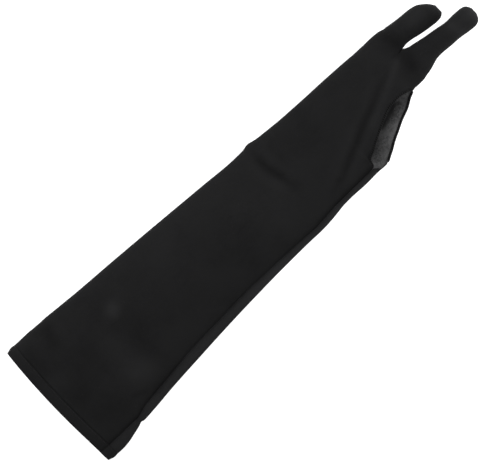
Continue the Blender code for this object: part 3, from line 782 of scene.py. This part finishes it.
def tail_path(start, radius, turn, strip):
    """Edge on the thumb side: an arc, then the strip that lies on top."""
    angle = turn * pi
    arc = radius * angle
    gone = TAIL * (arc + strip)
    a = np.minimum(gone, arc) / radius
    past = np.maximum(gone - arc, 0.0)
    dip = GROOVE_DIP * (past / strip) ** 3 if strip > 0 else 0.0
    return start + radius * np.sin(a) + past * cos(angle), radius * (1.0 - np.cos(a)) - dip


def under_line(row, outer, under):
    width = np.hypot(*(under - outer))
    turn, crotch = min(1.0, row[TURN]), 1.0 - smooth((X_CROTCH - outer[0]) / CROTCH_RUN)
    fork_up = 1.0 - smooth((X_CROTCH - outer[0]) / CROTCH_EDGE_RUN)
    radius = ROLL_RADIUS if turn > ROLLED_TURN else lerp(EDGE_RADIUS, ROLL_RADIUS, max(0.0, 4 * turn - 2))
    start = width - radius * sin(min(turn, UPRIGHT_TURN) * pi)
    strip = max(0.0, row[ROLL] - radius) if turn > ROLLED_TURN else 0.0
    fork = np.hypot(outer[0] - X_CROTCH, outer[1] - Y_CROTCH)
    middle = lerp(lerp(EDGE_RADIUS, start, CROTCH_COLUMN), fork, crotch)
    spread = lerp((middle - EDGE_RADIUS) * 0.3, EDGE_RADIUS, crotch)
    near, up = 1.0 - np.sin(ARC[::-1]), EDGE_RADIUS * (1.0 - np.cos(ARC[::-1])) * fork_up
    tail_q, tail_z = tail_path(start, radius, turn, strip)
    q = np.r_[EDGE_RADIUS * (1 - np.sin(ARC)), lerp(EDGE_RADIUS, middle - spread, FLAT),
              middle - spread * near, (middle + spread * near)[-2::-1],
              lerp(middle + spread, start, FLAT), tail_q]
    z = np.r_[EDGE_RADIUS * (1 - np.cos(ARC)), 0 * FLAT, up, up[-2::-1], 0 * FLAT, tail_z]
    return placed(outer, under, q, z)


def under_finger(first, table, length, width, thumb_side):
    rows = [first]
    for outer, inner in finger_rows(table, length, width):
        run = np.hypot(*(inner - outer))
        radius = min(EDGE_RADIUS, run / 2)
        lift = lerp(EDGE_RADIUS, 0.0, tip(outer[0], X_CROTCH + length, EDGE_RADIUS))
        end = TAIL * pi / 2 if thumb_side else ARC[::-1]
        q = np.r_[radius * (1 - np.sin(ARC)), lerp(radius, run - radius, FLAT),
                  run - radius * (1 - np.sin(end))]
        z = np.r_[1 - np.cos(ARC), 0 * FLAT, 1 - np.cos(end)]
        rows.append(placed(outer, inner, q, lerp(lift, EDGE_RADIUS, z)))
    return rows


under_body = [under_line(row, outer, under) for row, outer, under in zip(body, outer_edge, under_edge)]
split = len(ARC) * 2 + len(FLAT) - 1
under_patches = [
    under_body,
    under_finger(under_body[-1][:split + 1], LITTLE, LITTLE_LENGTH, LITTLE_WIDTH, False),
    under_finger(under_body[-1][split:], RING, RING_LENGTH, RING_WIDTH, True),
]
under_cloth = sheet("under_cloth", under_patches, CLOTH, True, [UNDER_FACE, INSIDE], shade_and_wear=under_light_and_shade)
under_area = sheet_area(under_patches)
print(f"under panel: {under_area * 1e4:.0f} square cm of cloth")

# %% [markdown]
# ## Cuff hem
#
# The cuff's edge is turned in once and held by two rows of stitches. Two layers make it a little thicker
# than the sleeve, so it stands proud by less than half a millimetre and its end is rounded.

# %% Cuff hem
hem_rows = []
for share in np.r_[0.0, 0.06, 0.15, np.linspace(0.28, 1.0, 9)]:
    row = sections(share * HEM_LENGTH, share * HEM_LENGTH + 0.001)[0]
    step = 1.0 - smooth((share - 0.72) / 0.28)
    proud = HEM_PROUD * step - (1.0 - smooth(share / 0.6)) * CUFF_CORNER
    row[[OUTER_Y, ROLL]] += proud
    row[UNDER_Y] -= proud
    outer, top, under = row[0:2], row[2:4], row[4:6]
    loop = under_line(row, outer, under)
    line, held = top_line(row, outer, top)
    round_end = -HEM_END_ROUND * (1.0 - smooth(share / 0.25))
    line[:, 2] += (HEM_PROUD * step + round_end) * np.minimum(1.0, held * 3)
    hem_rows.append(np.concatenate([loop, line[-2:0:-1]]))
cuff_band = sheet("cuff_band", [hem_rows], CLOTH * 2, True, [HEM_CLOTH, HEM_CLOTH], wrap=True)
hem_area = sheet_area([hem_rows])
print(f"cuff hem: {hem_area * 1e4:.0f} square cm, one layer counted")

# %% [markdown]
# ## Rolled hems of the opening
#
# The edge is rolled on itself and whipped over with thread. A tube follows the edge line, and a finer
# thread winds round it.

# %% Rolled hems
def tube(name, path, radius, sides, material, taper=0.0):
    """Round piece along a path, with closed ends and its place on the cloth."""
    path = np.asarray(path)
    ahead = np.gradient(path, axis=0)
    ahead /= np.linalg.norm(ahead, axis=1)[:, None]
    side = np.cross(ahead, [0.0, 0.0, 1.0])
    side /= np.linalg.norm(side, axis=1)[:, None]
    up = np.cross(side, ahead)
    steps = np.r_[0.0, np.cumsum(np.linalg.norm(np.diff(path, axis=0), axis=1))]
    bm = bmesh.new()
    rings, spots = [], []
    for index, centre in enumerate(path):
        end = min(steps[index], steps[-1] - steps[index]) / max(radius * 2, 1e-6)
        wide = radius * (1.0 - taper * (1.0 - smooth(end)))
        ring = []
        for k in range(sides):
            a = 2 * pi * k / sides
            spots.append((a * radius, steps[index]))
            ring.append(bm.verts.new(centre + SHIFT + wide * (side[index] * cos(a) + up[index] * sin(a))))
        rings.append(ring)
    for low, high in zip(rings, rings[1:]):
        for k in range(sides):
            bm.faces.new([low[k], low[(k + 1) % sides], high[(k + 1) % sides], high[k]])
    bm.faces.new(rings[0][::-1])
    bm.faces.new(rings[-1])
    bm.verts.index_update()
    uv_layer(bm, spots)
    for face in bm.faces:
        face.smooth = True
    mesh = bpy.data.meshes.new(name)
    bm.to_mesh(mesh)
    bm.free()
    mesh.materials.append(material)
    piece = bpy.data.objects.new(name, mesh)
    SCENE.collection.objects.link(piece)
    return piece


def wound(path, radius, pitch):
    """Thread that winds round a path."""
    path = np.asarray(path)
    steps = np.r_[0.0, np.cumsum(np.linalg.norm(np.diff(path, axis=0), axis=1))]
    at = np.arange(0.0, steps[-1], pitch / 10)
    centre = np.stack([np.interp(at, steps, path[:, k]) for k in range(3)], axis=1)
    ahead = np.gradient(centre, axis=0)
    ahead /= np.linalg.norm(ahead, axis=1)[:, None]
    side = np.cross(ahead, [0.0, 0.0, 1.0])
    up = np.cross(side, ahead)
    a = (2 * pi * at / pitch)[:, None]
    return centre + radius * (side * np.cos(a) + up * np.sin(a))


opening = sections(X_OPENING, X_OPENING + OPENING_END * HAND_LENGTH, OPENING_STEP)
_, top_mid, under_mid = edges(opening, BEAD / 2)
top_path, under_path = [], []
for row, at_top, at_under in zip(opening, top_mid, under_mid):
    groove = lerp(EDGE_RADIUS, 2.0 * ROLL_RADIUS - GROOVE_DIP, np.clip(2 * row[TURN] - 1, 0, 1))
    top_path.append([*at_top, lerp(groove, MOUTH_HEIGHT, np.clip(row[MOUTH], 0, 1)) - CLOTH / 2])
    if row[TURN] < 0.4:
        under_path.append([*at_under, BEAD / 2 + EDGE_RADIUS * (1 - cos(row[TURN] * pi))])
top_roll = tube("opening_roll_top", top_path, BEAD / 2, 14, BEAD_CLOTH, taper=0.5)
under_roll = tube("opening_roll_under", under_path, BEAD / 2, 14, BEAD_CLOTH, taper=0.5)
top_whip = tube("opening_thread_top", wound(top_path, BEAD / 2, WHIP_PITCH), WHIP_RADIUS, 6, THREAD)
under_whip = tube("opening_thread_under", wound(under_path, BEAD / 2, WHIP_PITCH), WHIP_RADIUS, 6, THREAD)
print(f"opening: rolled hems of {len(top_path)} and {len(under_path)} points")

# %% [markdown]
# ## Stitches
#
# The cuff hem shows two rows of straight stitches. The side seam lies in a groove, with short stitches
# across it. Each stitch is a small closed spindle, sunk a little at both ends.

# %% Stitches
def stitches(name, starts, ends, radius, material):
    """Many short spindles from starts to ends as one piece."""
    bm = bmesh.new()
    spots = []
    profile = [(0.0, 0.25), (0.14, 0.8), (0.5, 1.0), (0.86, 0.8), (1.0, 0.25)]
    for a, b in zip(np.asarray(starts), np.asarray(ends)):
        ahead = (b - a) / np.linalg.norm(b - a)
        side = np.cross(ahead, [0.0, 0.0, 1.0])
        side /= np.linalg.norm(side)
        up = np.cross(side, ahead)
        rings = []
        for t, wide in profile:
            centre = lerp(a, b, t) + SHIFT + up * radius * (wide - 0.7)
            ring = []
            for k in range(6):
                turn = pi * k / 3
                ring.append(bm.verts.new(centre + wide * radius * (side * cos(turn) + up * sin(turn))))
                spots.append((turn * radius, t * 0.002))
            rings.append(ring)
        for low, high in zip(rings, rings[1:]):
            for k in range(6):
                bm.faces.new([low[k], low[(k + 1) % 6], high[(k + 1) % 6], high[k]])
        bm.faces.new(rings[0][::-1])
        bm.faces.new(rings[-1])
    bm.verts.index_update()
    uv_layer(bm, spots)
    for face in bm.faces:
        face.smooth = True
    mesh = bpy.data.meshes.new(name)
    bm.to_mesh(mesh)
    bm.free()
    mesh.materials.append(material)
    piece = bpy.data.objects.new(name, mesh)
    SCENE.collection.objects.link(piece)
    return piece


def dashes(path, length, space):
    """Starts and ends of stitches along a path."""
    path = np.asarray(path)
    steps = np.r_[0.0, np.cumsum(np.linalg.norm(np.diff(path, axis=0), axis=1))]
    at = np.arange(space, steps[-1] - length, length + space)
    pick = lambda s: np.stack([np.interp(s, steps, path[:, k]) for k in range(3)], axis=1)
    return pick(at), pick(at + length)


starts, ends = [], []
under_count = len(under_body[0])
for row_share in HEM_STITCH_ROWS:
    line = np.array([(1 - row_share) * a + row_share * b for a, b in zip(hem_rows[3], hem_rows[-1])])
    top_part, low_part = line[under_count:], line[:under_count]
    low_part = low_part[len(ARC) + 1:under_count - len(TAIL) - 1]
    for part, lift in ((top_part, TOP_LIFT), (low_part, LOW_LIFT)):
        a, b = dashes(part, HEM_STITCH, HEM_STITCH_SPACE)
        starts.append(a + [0, 0, lift])
        ends.append(b + [0, 0, lift])
cuff_stitches = stitches("cuff_stitches", np.concatenate(starts), np.concatenate(ends),
                         HEM_STITCH_RADIUS, HEM_THREAD)

seam_line = [under_body[i][-1] for i in range(len(body)) if body[i, 0] < X_OPENING]
a, b = dashes(seam_line, SEAM_STITCH, SEAM_STITCH_SPACE)
across = np.array([0.0, SEAM_STITCH_REACH, 0.0])
seam_stitches = stitches("side_seam_stitches", a - across, b + across, SEAM_STITCH_RADIUS, THREAD)
print(f"{sum(len(s) for s in starts)} stitches at the cuff, {len(a)} across the side seam")

# %% [markdown]
# ## Riding
#
# Each piece belongs to the one body; the table names the solid that each piece goes with, and the solids
# that a piece stands for are hidden.

# %% Roles
roles = [
    (top_cloth, "top_panel", True), (under_cloth, "under_panel", True), (cuff_band, "cuff_hem", True),
    (top_roll, "opening_hem_top", True), (under_roll, "opening_hem_under", True),
    (top_whip, "opening_hem_top", False), (under_whip, "opening_hem_under", False),
    (cuff_stitches, "cuff_hem", False), (seam_stitches, "top_panel", False),
]
for piece, node, stands in roles:
    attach(piece, "root")
    if stands:
        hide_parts(node)

# %% [markdown]
# ## Table, light and camera
#
# The picture is a plain product view: the glove from straight above on white, lit softly from all round,
# with more from the closed side and the finger end, so that each crease has a lit and a shaded slope. A
# long lens keeps it free of perspective.

# %% Stage
FLOOR_DROP = 0.0003
floor_mesh = bpy.data.meshes.new("floor")
corners = [(x, y, -FLOOR_DROP) for x, y in ((-3, -3), (3, -3), (3, 3), (-3, 3))]
floor_mesh.from_pydata(corners, [], [(0, 1, 2, 3)])
floor = bpy.data.objects.new("floor", floor_mesh)
SCENE.collection.objects.link(floor)
paper = Kit("white_table")
paper.set(Base_Color=(0.9, 0.9, 0.9, 1.0), Roughness=0.9, Specular_IOR_Level=0.2,
          Emission_Color=(1.0, 1.0, 1.0, 1.0), Emission_Strength=0.72)
floor_mesh.materials.append(paper.material)

world = bpy.data.worlds.new("soft_room")
world.use_nodes = True
world.node_tree.nodes["Background"].inputs["Color"].default_value = (1.0, 1.0, 1.0, 1.0)
world.node_tree.nodes["Background"].inputs["Strength"].default_value = 0.20
SCENE.world = world


def area_light(name, place, aim, size, power):
    light = bpy.data.lights.new(name, "AREA")
    light.size = size
    light.energy = power
    lamp = bpy.data.objects.new(name, light)
    lamp.location = place
    lamp.rotation_euler = (Vector(aim) - Vector(place)).to_track_quat("-Z", "Y").to_euler()
    SCENE.collection.objects.link(lamp)
    return lamp


area_light("closed_side_softbox", (-0.35, 0.85, 0.65), (0.0, 0.0, 0.0), 0.5, 6.5)
area_light("finger_side_softbox", (0.95, -0.20, 0.70), (0.10, 0.0, 0.0), 0.4, 8.5)
area_light("overhead_softbox", (0.1, 0.1, 1.6), (0.0, 0.0, 0.0), 1.2, 4.0)

# %% Camera
IMAGE_WIDTH = 480
METRES_PER_PIXEL = 0.0008
AXIS_ANGLE = radians(43.5)
LENS, SENSOR = 300.0, 36.0
CENTRE = np.array([0.2041, 0.0011]) + SHIFT[:2]
camera_data = bpy.data.cameras.new("camera")
camera_data.lens, camera_data.sensor_width, camera_data.sensor_fit = LENS, SENSOR, "HORIZONTAL"
camera = bpy.data.objects.new("camera", camera_data)
camera.location = (*CENTRE, LENS / SENSOR * IMAGE_WIDTH * METRES_PER_PIXEL + EDGE_RADIUS)
camera.rotation_euler = (0.0, 0.0, -AXIS_ANGLE)
SCENE.collection.objects.link(camera)
SCENE.camera = camera
SCENE.view_settings.view_transform = "Standard"
print(f"camera {camera.location.z:.3f} m above the table")
